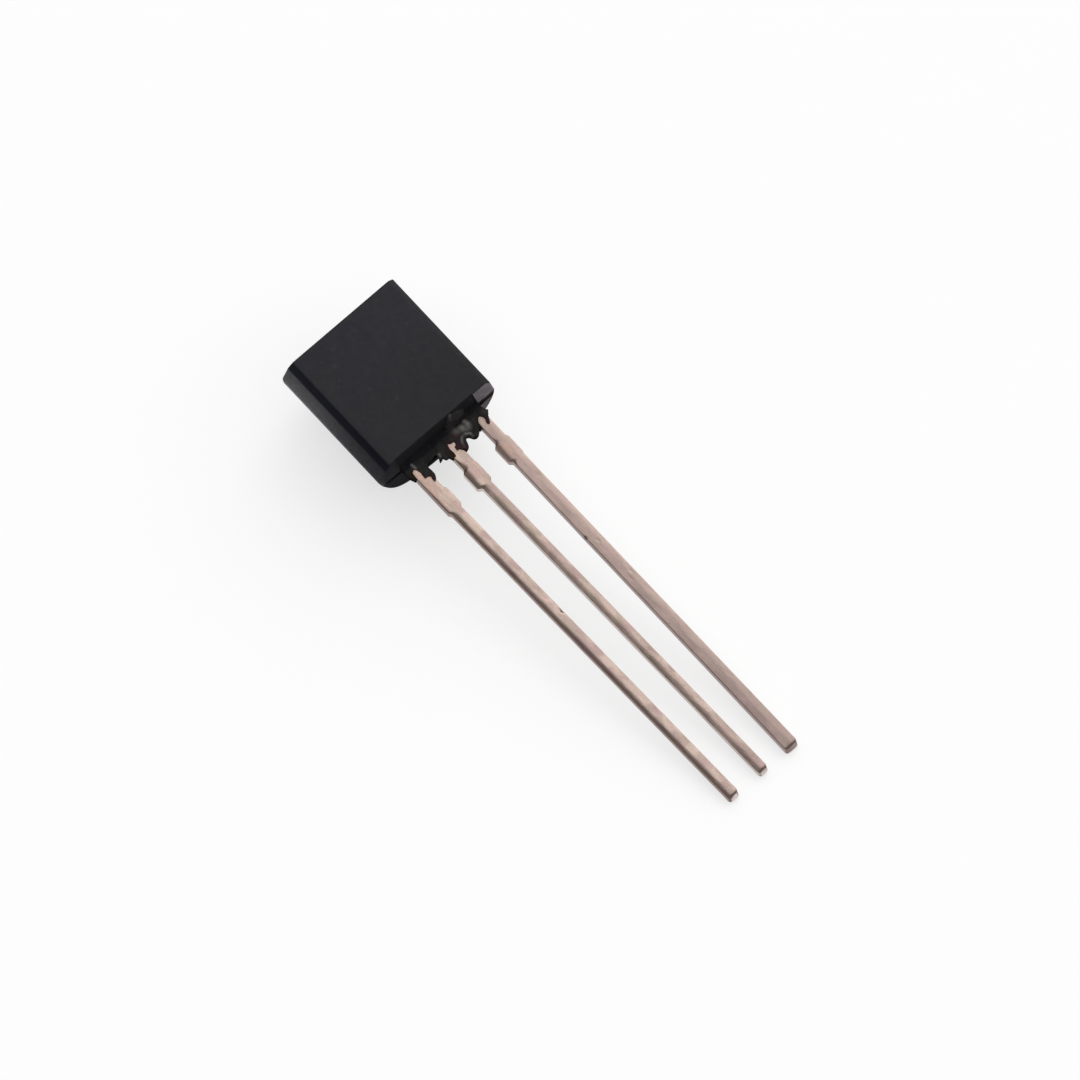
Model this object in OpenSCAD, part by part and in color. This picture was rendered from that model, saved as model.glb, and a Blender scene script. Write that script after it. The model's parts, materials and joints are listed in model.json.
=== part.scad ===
// TO-92 transistor: an epoxy body with a flat front and a half-round back, on three straight leads.
//
// It lies as it comes to rest on a table: on the lead-end rim of its round back and on the lead
// tips, with the flat face up. +X is the right side of the flat face, -Y is where the leads point
// and +Z is up. The origin is under the middle of the part's box, on the table.
//
// The part is built level first: X across, Y along with y = 0 at the body's lead end, and z = 0
// at the middle of the lead strip, which is also the mould's parting plane. laid_down() then
// tips it onto its rim and its tips.

/* [Body] */
// Width across the parting plane, which is twice the radius of the round back, mm
body_width = 4.57; // [4.3:0.01:4.8]
// Length from the lead end to the top end, at the parting plane, mm
body_height = 4.6; // [4.3:0.05:5.0]
// Depth from the parting plane to the flat face, mm
flat_depth = 1.12; // [1.0:0.01:1.4]
// Width of the flat face between its two bevels, mm
flat_width = 3.91; // [3.5:0.01:4.1]
// Width of the bevel along each long side of the flat face, mm
bevel_width = 0.175; // [0.1:0.005:0.3]
// Depth of the bevel along each long side of the flat face, mm
bevel_depth = 0.25; // [0.1:0.01:0.4]
// Slope of the front half's two end walls, so that it leaves the mould, degrees
front_draft = 5; // [2:0.5:8]
// Slope of the round back half's two end walls, degrees
back_draft = 2; // [1:0.5:8]
// Radius of the two corners of the parting plane at the lead end, mm
corner_radius = 0.16; // [0.1:0.01:0.5]

/* [Lead end of the body] */
// Width of the shallow recess in the front half's end wall, around the leads, mm
recess_width = 3.14; // [2.9:0.02:3.5]
// Depth of that recess along the leads, mm
recess_depth = 0.05; // [0.02:0.01:0.2]
// Depth of the band that the strip left between the two mould halves, mm
seam_depth = 0.05; // [0.02:0.01:0.1]

/* [Moulding marks] */
// Diameter of the ejector pin's mark in the round back, mm
ejector_diameter = 1.4; // [1:0.05:1.6]
// Depth of the ejector pin's mark below the round back, mm
ejector_depth = 0.12; // [0.05:0.01:0.2]
// Width of the stub that the mould's gate leaves on the top end, mm
gate_width = 0.9; // [0.5:0.05:1.2]
// Height of the gate stub, mm
gate_height = 0.3; // [0.15:0.01:0.4]
// Distance that the gate stub stands out of the top end, mm
gate_stub = 0.05; // [0.02:0.01:0.1]

/* [Leads] */
// Distance from one lead to the next, mm
pitch = 1.27; // [1.2:0.01:1.35]
// Distance that the lead strip sits to the right of the body's middle, mm
lead_offset = 0.06; // [-0.1:0.01:0.1]
// Thickness of the strip that the leads are stamped from, mm
lead_thickness = 0.38; // [0.36:0.01:0.48]
// Length of the leads from the body's lead end, mm
lead_length = 14.46; // [10:0.05:15]
// Widths of the left, middle and right lead where they leave the body, mm
root_widths = [0.45, 0.43, 0.38]; // [0.34:0.01:0.5]
// Widths of the left, middle and right lead below the cut tie bar, mm
lead_widths = [0.375, 0.335, 0.415]; // [0.3:0.005:0.5]
// Distance that each lead stands to the right of its root below the cut tie bar, mm
lead_shifts = [0.03, -0.01, 0.005]; // [-0.1:0.005:0.1]
// Widths of the left, middle and right lead at their tips, mm
tip_widths = [0.385, 0.345, 0.475]; // [0.3:0.005:0.55]
// Distance that each tip stands to the right of its root, mm
tip_shifts = [0.24, 0.17, 0.045]; // [-0.3:0.005:0.3]
// Chamfer on the two corners of each tip, mm
tip_chamfer = 0.07; // [0:0.01:0.12]
// Widths of the slope pressed along the upper left edge of the left, middle and right lead, mm
pressed_widths = [0.14, 0.14, 0]; // [0:0.01:0.2]
// Depths of that slope at its left side, mm
pressed_depths = [0.1, 0.08, 0]; // [0:0.01:0.2]

/* [Cut tie bar] */
// Widths across the stubs that the tie bar leaves on the left, middle and right lead, mm
stub_widths = [0.52, 0.55, 0.55]; // [0.46:0.01:0.6]
// Distance that each lead's stubs stand to the right of its root, mm
stub_shifts = [0.035, -0.035, -0.03]; // [-0.1:0.005:0.1]
// Distance from the body to where the stubs start, mm
stub_start = 1.25; // [1.1:0.05:1.6]
// Length of the stubs along the lead, with their slopes, mm
stub_length = 0.85; // [0.5:0.01:1.2]
// Length of the slope at each end of a stub, mm
stub_slope = 0.13; // [0.05:0.01:0.2]

/* [Chip and wires inside the body] */
// Width and height of the chip, mm
chip_size = 0.6; // [0.3:0.01:0.8]
// Thickness of the chip, mm
chip_thickness = 0.2; // [0.1:0.01:0.3]
// Thickness of the glue under the chip, mm
glue_thickness = 0.02; // [0.01:0.005:0.04]
// Width that the glue shows around the chip, mm
glue_border = 0.05; // [0.02:0.01:0.1]
// Diameter of the bond wires, mm
wire_diameter = 0.04; // [0.03:0.005:0.05]
// Height of each bond wire's loop over a straight line, mm
wire_loop = 0.36; // [0.3:0.01:0.5]
// Diameter of the ball at the chip end of each bond wire, mm
ball_diameter = 0.1; // [0.08:0.01:0.12]
// Height of that ball, mm
ball_height = 0.03; // [0.02:0.005:0.04]

/* [Hidden] */
$fn = 96;
SIDES_OF_WIRE = 8;
STEPS_OF_WIRE = 14;
// Solids that are cut run this far past what they cut
CUT = 0.5;

back_radius = body_width / 2;
front_run = flat_depth * tan(front_draft);
back_run = back_radius * tan(back_draft);
lead_top = lead_thickness / 2;
lead_x = [for (n = [0 : 2]) (n - 1) * pitch + lead_offset];

// Opposite corners of the wide ends that the leads have inside the body
emitter_post = [[-1.62, 0.57], [-0.96, 3.3]];
base_post = [[-0.5, 0.57], [0.62, 1.3]];
paddle = [[-0.74, 1.72], [1.62, 3.9]];
// Length of the slopes that join a wide end to its lead
post_slope = 0.12;
chip_at = [0.38, 2.72];
// Where each bond wire starts, from the middle of the chip, and where it ends on its own lead
emitter_bond = [[-0.12, 0.1], [-1.28, 2.35]];
base_bond = [[0.1, -0.12], [0.12, 0.95]];

// The laid part touches the table with the rim of its back and with the lower edge of its tips
rest_angle = atan((back_radius - lead_top) / (lead_length + back_run));
rest_lift = back_radius * cos(rest_angle) - back_run * sin(rest_angle);
rest_top = (body_height - back_run) * cos(rest_angle) + back_radius * sin(rest_angle);
rest_tip = -lead_length * cos(rest_angle) - lead_top * sin(rest_angle);

BLACK_EPOXY = [0.13, 0.13, 0.14];
TINNED_METAL = [0.75, 0.68, 0.64];
SILVER_GLUE = [0.7, 0.7, 0.68];
SILICON = [0.35, 0.36, 0.4];
GOLD = [0.85, 0.68, 0.3];

moulded_body();
emitter_lead();
base_lead();
collector_lead();
chip_glue();
chip();
emitter_wire();
base_wire();

// ---- the pieces, laid on the table ----

// Black epoxy, moulded around everything else, with the ragged resin left between the leads
module moulded_body()
    color(BLACK_EPOXY) laid_down() difference() {
        union() {
            difference() {
                body_blank();
                lead_recess();
                seam_band();
                ejector_mark();
            }
            torn_resin();
            gate_vestige();
        }
        emitter_lead_level();
        base_lead_level();
        collector_lead_level();
        chip_glue_level();
        chip_level();
        emitter_wire_level();
        base_wire_level();
    }

module emitter_lead()
    color(TINNED_METAL) laid_down() emitter_lead_level();

module base_lead()
    color(TINNED_METAL) laid_down() base_lead_level();

module collector_lead()
    color(TINNED_METAL) laid_down() collector_lead_level();

module chip_glue()
    color(SILVER_GLUE) laid_down() chip_glue_level();

module chip()
    color(SILICON) laid_down() chip_level();

module emitter_wire()
    color(GOLD) laid_down() emitter_wire_level();

module base_wire()
    color(GOLD) laid_down() base_wire_level();

module laid_down()
    translate([0, -(rest_top + rest_tip) / 2, rest_lift])
        rotate([rest_angle, 0, 0])
            children();

// ---- the body ----

// What the cross-section, the sloped ends and the rounded corners have in common
module body_blank()
    intersection() {
        along_y(-CUT, body_height + CUT) cross_section();
        along_x(-back_radius - CUT, back_radius + CUT) side_outline();
        translate([0, 0, -back_radius - CUT])
            linear_extrude(back_radius + flat_depth + 2 * CUT)
                plan_outline();
    }

// Flat front with bevels over a half-round back, as seen along the leads
module cross_section() {
    polygon(both_sides([
        [back_radius, 0],
        [flat_width / 2 + bevel_width, flat_depth - bevel_depth],
        [flat_width / 2, flat_depth]]));
    intersection() {
        circle(back_radius);
        translate([-back_radius - CUT, -back_radius - CUT])
            square([2 * (back_radius + CUT), back_radius + CUT]);
    }
}

// Both ends slope inwards from the parting plane, as seen from the side
module side_outline()
    polygon([
        [0, 0], [back_run, -back_radius],
        [body_height - back_run, -back_radius], [body_height, 0],
        [body_height - front_run, flat_depth], [front_run, flat_depth]]);

// Wider than the body all round, apart from the two rounded corners at the lead end
module plan_outline() {
    r = corner_radius;
    far = body_height + CUT;
    corner = [for (a = [-75 : 15 : -15])
        [back_radius - r + r * cos(a), r + r * sin(a)]];
    polygon(both_sides(concat(
        [[back_radius - 1.8 * r, -0.1 * r]],
        corner,
        [[back_radius + 0.1 * r, 1.8 * r], [back_radius + 0.1 * r, far]])));
}

// The front half's end wall stands back around the leads, up to and through the flat face
module lead_recess()
    along_x(-recess_width / 2, recess_width / 2)
        polygon([
            [-CUT, lead_top],
            [recess_depth + lead_top * tan(front_draft), lead_top],
            [recess_depth + (flat_depth + CUT) * tan(front_draft), flat_depth + CUT],
            [-CUT, flat_depth + CUT]]);

// The mould halves closed on the strip, so a shallow band as high as the strip runs across the
// lead end between them
module seam_band()
    along_x(-back_radius - CUT, back_radius + CUT)
        translate([-CUT, -lead_top])
            square([CUT + seam_depth, lead_thickness]);

module ejector_mark()
    translate([0, body_height / 2, -back_radius - CUT])
        cylinder(h = ejector_depth + CUT, d = ejector_diameter);

module gate_vestige()
    translate([-gate_width / 2, body_height - CUT, -gate_height / 2])
        cube([gate_width, CUT + gate_stub, gate_height]);

// Resin that ran between the leads as far as the tie bar, torn off ragged when the bar was cut
module torn_resin()
    translate([0, 0, -lead_top])
        linear_extrude(lead_thickness) {
            torn_left_gap();
            torn_right_gap();
            torn_outer_edge();
        }

// Between the left and the middle lead: low, with one small tooth and a lobe by the left lead
module torn_left_gap()
    polygon([
        [-pitch, CUT], [-pitch, -0.96], [-1.03, -0.97], [-0.96, -0.9],
        [-0.9, -0.8], [-0.88, -0.69], [-0.88, -0.58], [-0.9, -0.48],
        [-0.86, -0.41], [-0.77, -0.38], [-0.69, -0.39], [-0.59, -0.35],
        [-0.49, -0.34], [-0.43, -0.38], [-0.44, -0.45], [-0.47, -0.5],
        [-0.48, -0.57], [-0.4, -0.55], [-0.33, -0.52], [-0.27, -0.55],
        [-0.18, -0.67], [-0.13, -0.76], [0, -0.73], [0, CUT]]);

// Between the middle and the right lead: a thick chunk with a hooked lobe
module torn_right_gap()
    polygon([
        [0, CUT], [0, -0.81], [0.36, -0.83], [0.43, -0.81], [0.49, -0.76],
        [0.51, -0.67], [0.53, -0.6], [0.58, -0.54], [0.65, -0.52],
        [0.71, -0.56], [0.74, -0.64], [0.78, -0.7], [0.86, -0.73],
        [0.95, -0.71], [1.02, -0.64], [1.1, -0.58], [1.14, -0.56],
        [pitch, -0.5], [pitch, CUT]]);

// Outside the right lead: a narrow shoulder that tapers off along the lead
module torn_outer_edge()
    polygon([
        [pitch, CUT], [pitch, -0.62], [1.49, -0.64], [1.52, -0.54],
        [1.56, -0.43], [1.65, -0.35], [1.72, -0.27], [1.79, -0.1],
        [1.82, CUT]]);

// ---- the leads, cut from one strip ----

module emitter_lead_level()
    lead(0, emitter_post);

module base_lead_level()
    lead(1, base_post);

module collector_lead_level()
    lead(2, paddle);

// One lead in one piece, from its wide end inside the body to its tip
module lead(i, post) {
    right = lead_side(i, 1, post[1][0], post);
    left = lead_side(i, -1, post[0][0], post);
    difference() {
        translate([0, 0, -lead_top])
            linear_extrude(lead_thickness)
                polygon(concat(right, [for (n = [len(left) - 1 : -1 : 0]) left[n]]));
        if (pressed_widths[i] > 0) pressed_edge(i);
    }
}

// The slope that the trimming tool left along a lead's upper left edge, below the cut tie bar
module pressed_edge(i) {
    side = lead_x[i] + lead_shifts[i] - lead_widths[i] / 2;
    tip = lead_x[i] + tip_shifts[i] - tip_widths[i] / 2;
    start = stub_start + stub_length;
    run = lead_length - start;
    translate([side, -start, lead_top])
        rotate(atan((tip - side) / run))
            along_y(-run - CUT, 0)
                polygon([
                    [-CUT, CUT], [-CUT, -pressed_depths[i]], [0, -pressed_depths[i]],
                    [pressed_widths[i], 0], [pressed_widths[i], CUT]]);
}

// Corners of one side of a lead, down to the tip; way is 1 for the right side, -1 for the left
function lead_side(i, way, post_x, post) =
    let (root = lead_x[i] + way * root_widths[i] / 2,
         stub = lead_x[i] + stub_shifts[i] + way * stub_widths[i] / 2,
         side = lead_x[i] + lead_shifts[i] + way * lead_widths[i] / 2,
         tip = lead_x[i] + tip_shifts[i] + way * tip_widths[i] / 2)
    [[post_x, post[1][1]],
     [post_x, post[0][1]],
     [root, post[0][1] - post_slope],
     [root, -stub_start],
     [stub, -stub_start - stub_slope],
     [stub, -stub_start - stub_length + stub_slope],
     [side, -stub_start - stub_length],
     [tip, -lead_length + tip_chamfer],
     [tip - way * tip_chamfer, -lead_length]];

// ---- the chip and its wires ----

module chip_glue_level()
    box_on(lead_top, chip_size + 2 * glue_border, glue_thickness);

module chip_level()
    box_on(lead_top + glue_thickness, chip_size, chip_thickness);

module box_on(z, size, thickness)
    translate([chip_at[0] - size / 2, chip_at[1] - size / 2, z])
        cube([size, size, thickness]);

module emitter_wire_level()
    bond_wire(chip_at + emitter_bond[0], emitter_bond[1]);

module base_wire_level()
    bond_wire(chip_at + base_bond[0], base_bond[1]);

// A ball on the chip and a looped wire from it down to the top of a lead
module bond_wire(from, to) {
    start_z = lead_top + glue_thickness + chip_thickness;
    translate([from[0], from[1], start_z])
        cylinder(h = ball_height, d = ball_diameter, $fn = 12);
    swept_wire([for (n = [0 : STEPS_OF_WIRE])
        let (t = n / STEPS_OF_WIRE)
        [from[0] + (to[0] - from[0]) * t,
         from[1] + (to[1] - from[1]) * t,
         start_z + (lead_top - start_z) * t + wire_loop * 4 * t * (1 - t)]]);
}

// A wire of even thickness through the points of a loop that stands upright. Its two end rings
// are level, so that they lie flat on what the wire is bonded to.
module swept_wire(path) {
    last = len(path) - 1;
    run = [path[last][0] - path[0][0], path[last][1] - path[0][1]];
    ahead = [run[0], run[1], 0] / norm(run);
    aside = [-ahead[1], ahead[0], 0];
    rings = [for (n = [0 : last])
        let (d = n == 0 ? [0, 0, 1] : n == last ? [0, 0, -1] : path[n + 1] - path[n - 1],
             along = d / norm(d),
             up = ahead * along[2] - [0, 0, 1] * (along * ahead))
        for (s = [0 : SIDES_OF_WIRE - 1])
            let (a = 360 * s / SIDES_OF_WIRE)
            path[n] + wire_diameter / 2 * (cos(a) * up + sin(a) * aside)];
    polyhedron(points = rings, faces = concat(
        [[for (s = [0 : SIDES_OF_WIRE - 1]) s]],
        [[for (s = [SIDES_OF_WIRE - 1 : -1 : 0]) last * SIDES_OF_WIRE + s]],
        [for (n = [0 : last - 1]) for (s = [0 : SIDES_OF_WIRE - 1])
            let (a = n * SIDES_OF_WIRE + s, b = n * SIDES_OF_WIRE + (s + 1) % SIDES_OF_WIRE)
            each [[a, a + SIDES_OF_WIRE, b], [b, a + SIDES_OF_WIRE, b + SIDES_OF_WIRE]]]));
}

// ---- helpers ----

// Runs a flat shape drawn as [x, z] along Y
module along_y(from, to)
    translate([0, to, 0]) rotate([90, 0, 0]) linear_extrude(to - from) children();

// Runs a flat shape drawn as [y, z] along X
module along_x(from, to)
    translate([from, 0, 0]) rotate([90, 0, 90]) linear_extrude(to - from) children();

// The right half of an outline, from the bottom up, with its mirror image on the left
function both_sides(half) = concat(
    half, [for (n = [len(half) - 1 : -1 : 0]) [-half[n][0], half[n][1]]]);
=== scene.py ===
# %% [markdown]
# # A small moulded transistor, lying on a table
#
# The real thing is a chip sealed in black epoxy, on three flat leads that were stamped from one
# strip of tinned copper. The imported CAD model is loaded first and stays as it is: it says where
# each piece is and how big it is. Every step after that makes one piece, one finish or one lamp.

# %% Load the frame
from math import cos, pi, radians, sin

import bmesh
import bpy
from mathutils import Matrix, Quaternion, Vector, noise
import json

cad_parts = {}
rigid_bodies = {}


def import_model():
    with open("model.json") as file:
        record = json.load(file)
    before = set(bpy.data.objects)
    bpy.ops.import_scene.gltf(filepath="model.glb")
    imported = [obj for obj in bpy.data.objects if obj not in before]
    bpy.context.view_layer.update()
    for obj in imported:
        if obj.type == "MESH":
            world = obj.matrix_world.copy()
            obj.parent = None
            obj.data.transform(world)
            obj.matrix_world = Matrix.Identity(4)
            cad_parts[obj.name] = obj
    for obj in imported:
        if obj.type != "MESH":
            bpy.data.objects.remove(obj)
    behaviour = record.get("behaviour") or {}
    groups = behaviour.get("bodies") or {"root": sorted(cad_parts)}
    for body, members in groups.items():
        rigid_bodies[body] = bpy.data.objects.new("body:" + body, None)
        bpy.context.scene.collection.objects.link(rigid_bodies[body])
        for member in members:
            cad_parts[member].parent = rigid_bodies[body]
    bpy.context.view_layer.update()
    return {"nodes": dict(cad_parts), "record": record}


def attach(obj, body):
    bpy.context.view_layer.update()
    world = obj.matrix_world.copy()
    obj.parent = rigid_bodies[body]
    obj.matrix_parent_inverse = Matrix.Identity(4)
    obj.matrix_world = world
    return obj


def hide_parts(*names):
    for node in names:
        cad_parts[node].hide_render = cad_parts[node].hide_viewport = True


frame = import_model()
MM = 0.001

# %% [markdown]
# ## Working level, in millimetres
#
# The part lies tipped: it rests on the rim of its round back and on its lead tips. That is an
# awkward pose to model in, and Blender's merge and bevel distances are made for bigger things.
# So each piece is made level and in millimetres, on what is called the bench here, where one
# unit is 1 mm: x runs across, y along with 0 at the body's lead end, and z = 0 is the middle of
# the lead strip, which is also the plane where the two mould halves meet. The two mounts in the
# record give the way back.

# %% The way from the level bench to the table
LEAD_LENGTH = 14.46

mounts = {mount["name"]: mount for mount in frame["record"]["mounts"]}
up_from_flat = Vector(mounts["flat_front"]["axis"])
tip_place = Vector(mounts["lead_tips"]["pos_m"])
rest_turn = Quaternion((1, 0, 0), Vector((0, 0, 1)).angle(up_from_flat))
tip_on_bench = Vector((tip_place.x / MM, -LEAD_LENGTH, 0))
bench_to_table = Matrix.LocRotScale(
    tip_place - rest_turn @ (tip_on_bench * MM), rest_turn, Vector((MM, MM, MM)))
print("tipped by", round(rest_turn.angle * 180 / pi, 3), "degrees; bench origin at",
      [round(v / MM, 3) for v in bench_to_table.translation], "mm")


# %% Small helpers for work by hand
def only(*pieces):
    """Nothing is selected but these pieces, and the first of them is active."""
    if bpy.context.object and bpy.context.object.mode != "OBJECT":
        bpy.ops.object.mode_set(mode="OBJECT")
    bpy.ops.object.select_all(action="DESELECT")
    for piece in pieces:
        piece.select_set(True)
    bpy.context.view_layer.objects.active = pieces[0]


def new_piece(name):
    """Names the primitive that was just added and puts its place into its mesh."""
    piece = bpy.context.object
    piece.name = name
    only(piece)
    bpy.ops.object.transform_apply(location=True, rotation=True, scale=True)
    return piece


def pick(piece, faces=None, edges=None):
    """Edit mode with only the faces or the edges selected that pass the given test."""
    only(piece)
    bpy.ops.object.mode_set(mode="EDIT")
    bpy.ops.mesh.select_mode(type="FACE" if faces else "EDGE")
    bpy.ops.mesh.select_all(action="DESELECT")
    mesh = bmesh.from_edit_mesh(piece.data)
    test = faces or edges
    for part in mesh.faces if faces else mesh.edges:
        if test(part):
            part.select_set(True)
    mesh.select_flush_mode()
    bmesh.update_edit_mesh(piece.data)


def done():
    """Back from edit mode."""
    bpy.ops.object.mode_set(mode="OBJECT")


def apply_modifier(piece, kind, **settings):
    """Puts one modifier on the piece and applies it at once."""
    only(piece)
    modifier = piece.modifiers.new(kind.title(), kind)
    for setting, value in settings.items():
        setattr(modifier, setting, value)
    bpy.ops.object.modifier_apply(modifier=modifier.name)


def cut_away(piece, cutter):
    """Cuts the cutter's shape out of the piece and throws the cutter away."""
    apply_modifier(piece, "BOOLEAN", operation="DIFFERENCE", solver="EXACT", object=cutter)
    bpy.data.objects.remove(cutter)


def lay_down(piece):
    """Takes a finished piece from the bench to its place on the table."""
    only(piece)
    piece.matrix_world = bench_to_table
    bpy.ops.object.transform_apply(location=True, rotation=True, scale=True)
    size = [round(side / MM, 2) for side in piece.dimensions]
    print(f"{piece.name}: {len(piece.data.polygons)} faces, {size} mm")


def bench_copy(node, name):
    """A copy of a CAD node, levelled on the bench, with its loose triangles joined up."""
    piece = frame["nodes"][node].copy()
    piece.data = piece.data.copy()
    piece.name = name
    piece.parent = None
    for key in list(piece.keys()):
        del piece[key]
    bpy.context.scene.collection.objects.link(piece)
    piece.matrix_world = bench_to_table.inverted()
    only(piece)
    bpy.ops.object.transform_apply(location=True, rotation=True, scale=True)
    bpy.ops.object.mode_set(mode="EDIT")
    bpy.ops.mesh.select_all(action="SELECT")
    bpy.ops.mesh.remove_doubles(threshold=0.0005)
    bpy.ops.mesh.dissolve_limited(angle_limit=radians(0.5))
    done()
    return piece


# %% [markdown]
# ## The moulded body
#
# A body like this comes out of a two-part mould. It is a round bar with a flat on one side, and
# both its ends slope a little so that it leaves the mould. One could carve it from a block with
# booleans, but a cylinder that is sliced along its axis already has the exact round back. The
# half that is left is pulled up twice to make the front, and four slices give the sloped ends.

# %% Sizes of the body
BACK_RADIUS = 4.57 / 2
BODY_HEIGHT = 4.6
FLAT_DEPTH = 1.12
FLAT_HALF = 3.91 / 2
BEVEL_WIDTH = 0.175
BEVEL_DEPTH = 0.25
FRONT_SLOPE = radians(5)
BACK_SLOPE = radians(2)
print("body:", 2 * BACK_RADIUS, "mm wide,", BODY_HEIGHT, "long and",
      round(BACK_RADIUS + FLAT_DEPTH, 3), "deep")

# %% Half a cylinder, pulled up to the flat face
# A normal this far along an axis counts as facing that way
FACING = 0.9

bpy.ops.mesh.primitive_cylinder_add(
    vertices=192, radius=BACK_RADIUS, depth=BODY_HEIGHT,
    location=(0, BODY_HEIGHT / 2, 0), rotation=(radians(90), 0, 0))
body = new_piece("epoxy_body")
bpy.ops.object.mode_set(mode="EDIT")
bpy.ops.mesh.select_all(action="SELECT")
bpy.ops.mesh.bisect(plane_co=(0, 0, 0), plane_no=(0, 0, 1), use_fill=True, clear_outer=True)

half_width = BACK_RADIUS
for rise, next_half in [(FLAT_DEPTH - BEVEL_DEPTH, FLAT_HALF + BEVEL_WIDTH),
                        (BEVEL_DEPTH, FLAT_HALF)]:
    pick(body, faces=lambda face: face.normal.z > FACING)
    bpy.ops.mesh.extrude_region_move(TRANSFORM_OT_translate={"value": (0, 0, rise)})
    bpy.ops.transform.resize(value=(next_half / half_width, 1, 1), center_override=(0, 0, 0))
    half_width = next_half
done()
print("body, pulled up:", len(body.data.polygons), "faces")

# %% Sloped ends, so that it leaves the mould
bpy.ops.object.mode_set(mode="EDIT")
for end, out in [(0, -1), (BODY_HEIGHT, 1)]:
    for way, slope in [(1, FRONT_SLOPE), (-1, BACK_SLOPE)]:
        bpy.ops.mesh.select_all(action="SELECT")
        bpy.ops.mesh.bisect(plane_co=(0, end, 0), plane_no=(0, out * cos(slope), way * sin(slope)),
                            use_fill=True, clear_outer=True, threshold=0.00001)
done()
print("body blank:", [round(side, 3) for side in body.dimensions])

# %% [markdown]
# Mould edges are never knife sharp. A bevel modifier goes round every edge that is marked with
# a weight. The two corners beside the leads are rounder than the rest: there, each new point
# keeps its place in the bevel, but its distance from the old corner is made larger. The growth
# fades out towards the flat and towards the bottom of the round back.

# %% Rounded edges
EDGE_ROUNDING = 0.042
SHARP = radians(12)
pick(body, edges=lambda edge: edge.calc_face_angle(0) > SHARP)
bpy.ops.transform.edge_bevelweight(value=1)
done()
apply_modifier(body, "BEVEL", limit_method="WEIGHT", width=EDGE_ROUNDING, segments=4,
               offset_type="OFFSET", use_clamp_overlap=True)
print("body, edges rounded:", len(body.data.polygons), "faces")


# %% How far along a span a value is
def between(value, low, high):
    """0 at low or before it, 1 at high or past it."""
    return min(1, max(0, (value - low) / (high - low)))


def smooth(share):
    """The same share, but it starts and ends softly."""
    return share * share * (3 - 2 * share)


# %% The walls of the body before its edges were rounded
WALL_TOP = FLAT_DEPTH - BEVEL_DEPTH
NEVER_ZERO = 0.01


def end_wall(z):
    """Where along the bench the sloped wall at the lead end is, at a height."""
    return z * sin(FRONT_SLOPE) if z > 0 else -z * sin(BACK_SLOPE)


def side_wall(z):
    """How far from the middle the body's sides are at a height."""
    if z > 0:
        return BACK_RADIUS + between(z, 0, WALL_TOP) * (FLAT_HALF + BEVEL_WIDTH - BACK_RADIUS)
    return max(NEVER_ZERO, BACK_RADIUS ** 2 - z * z) ** 0.5


# %% Rounder corners beside the leads
LEFT_CORNER = 0.26
RIGHT_CORNER = 0.13
GROWS_OVER = (-1.9, -0.6)
FADES_OVER = (0.45, WALL_TOP)
END_REACH = EDGE_ROUNDING * 1.2
SIDE_REACH = EDGE_ROUNDING * 2

grown = 0
for v in body.data.vertices:
    x, y, z = v.co
    from_end = y - end_wall(z)
    from_side = side_wall(z) - abs(x)
    if from_end < END_REACH and from_side < SIDE_REACH:
        corner = LEFT_CORNER if x < 0 else RIGHT_CORNER
        share = smooth(between(z, *GROWS_OVER)) * (1 - smooth(between(z, *FADES_OVER)))
        grow = share * (corner / EDGE_ROUNDING - 1)
        side = 1 if x > 0 else -1
        v.co.x -= side * max(0, from_side) * grow
        v.co.y += max(0, from_end) * grow
        grown += 1
print("rounder corners:", grown, "points")

# %% [markdown]
# The mould leaves marks too: a shallow recess around the leads, a band where its halves met,
# a round dimple from the pin that pushes the part out, and a torn stub where the resin came in.
# Each is one small shape that is cut out, or added for the stub, because a boolean keeps the
# big faces around it flat.

# %% Recess around the leads
LEAD_TOP = 0.19
RECESS_HALF = 3.14 / 2
RECESS_DEPTH = 0.05
RECESS_LEAN = 0.16
# How far a cutter reaches out of the body
OVER = 0.5

recess_height = FLAT_DEPTH - LEAD_TOP + OVER
bpy.ops.mesh.primitive_cube_add(
    size=1, scale=(2 * RECESS_HALF, OVER, recess_height),
    location=(0, RECESS_DEPTH - OVER / 2, LEAD_TOP + recess_height / 2))
cutter = new_piece("recess_cutter")
for v in cutter.data.vertices:
    v.co.x -= RECESS_LEAN * (v.co.z - LEAD_TOP)
    if v.co.y > 0:
        v.co.y += v.co.z * sin(FRONT_SLOPE) / cos(FRONT_SLOPE)
cut_away(body, cutter)
print("body with its recess:", len(body.data.polygons), "faces")

# %% Band between the mould halves, as high as the lead strip, and the ejector's dimple
SEAM_DEPTH = 0.05
bpy.ops.mesh.primitive_cube_add(
    size=1, scale=(2 * BACK_RADIUS + OVER, OVER, 2 * LEAD_TOP),
    location=(0, SEAM_DEPTH - OVER / 2, 0))
cut_away(body, new_piece("seam_cutter"))

EJECTOR_RADIUS = 0.7
EJECTOR_DEPTH = 0.12
bpy.ops.mesh.primitive_cylinder_add(
    vertices=64, radius=EJECTOR_RADIUS, depth=OVER,
    location=(0, BODY_HEIGHT / 2, EJECTOR_DEPTH - BACK_RADIUS - OVER / 2))
cut_away(body, new_piece("ejector_cutter"))
print("body with its band and dimple:", len(body.data.polygons), "faces")

# %% Stub that the gate left on the top end
GATE_WIDTH = 0.9
GATE_HEIGHT = 0.3
GATE_STUB = 0.05
bpy.ops.mesh.primitive_cube_add(
    size=1, scale=(GATE_WIDTH, OVER + GATE_STUB, GATE_HEIGHT),
    location=(0, BODY_HEIGHT + (GATE_STUB - OVER) / 2, 0))
stub = new_piece("gate_stub")
apply_modifier(body, "BOOLEAN", operation="UNION", solver="EXACT", object=stub)
bpy.data.objects.remove(stub)
print("body:", len(body.data.polygons), "faces")


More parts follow.
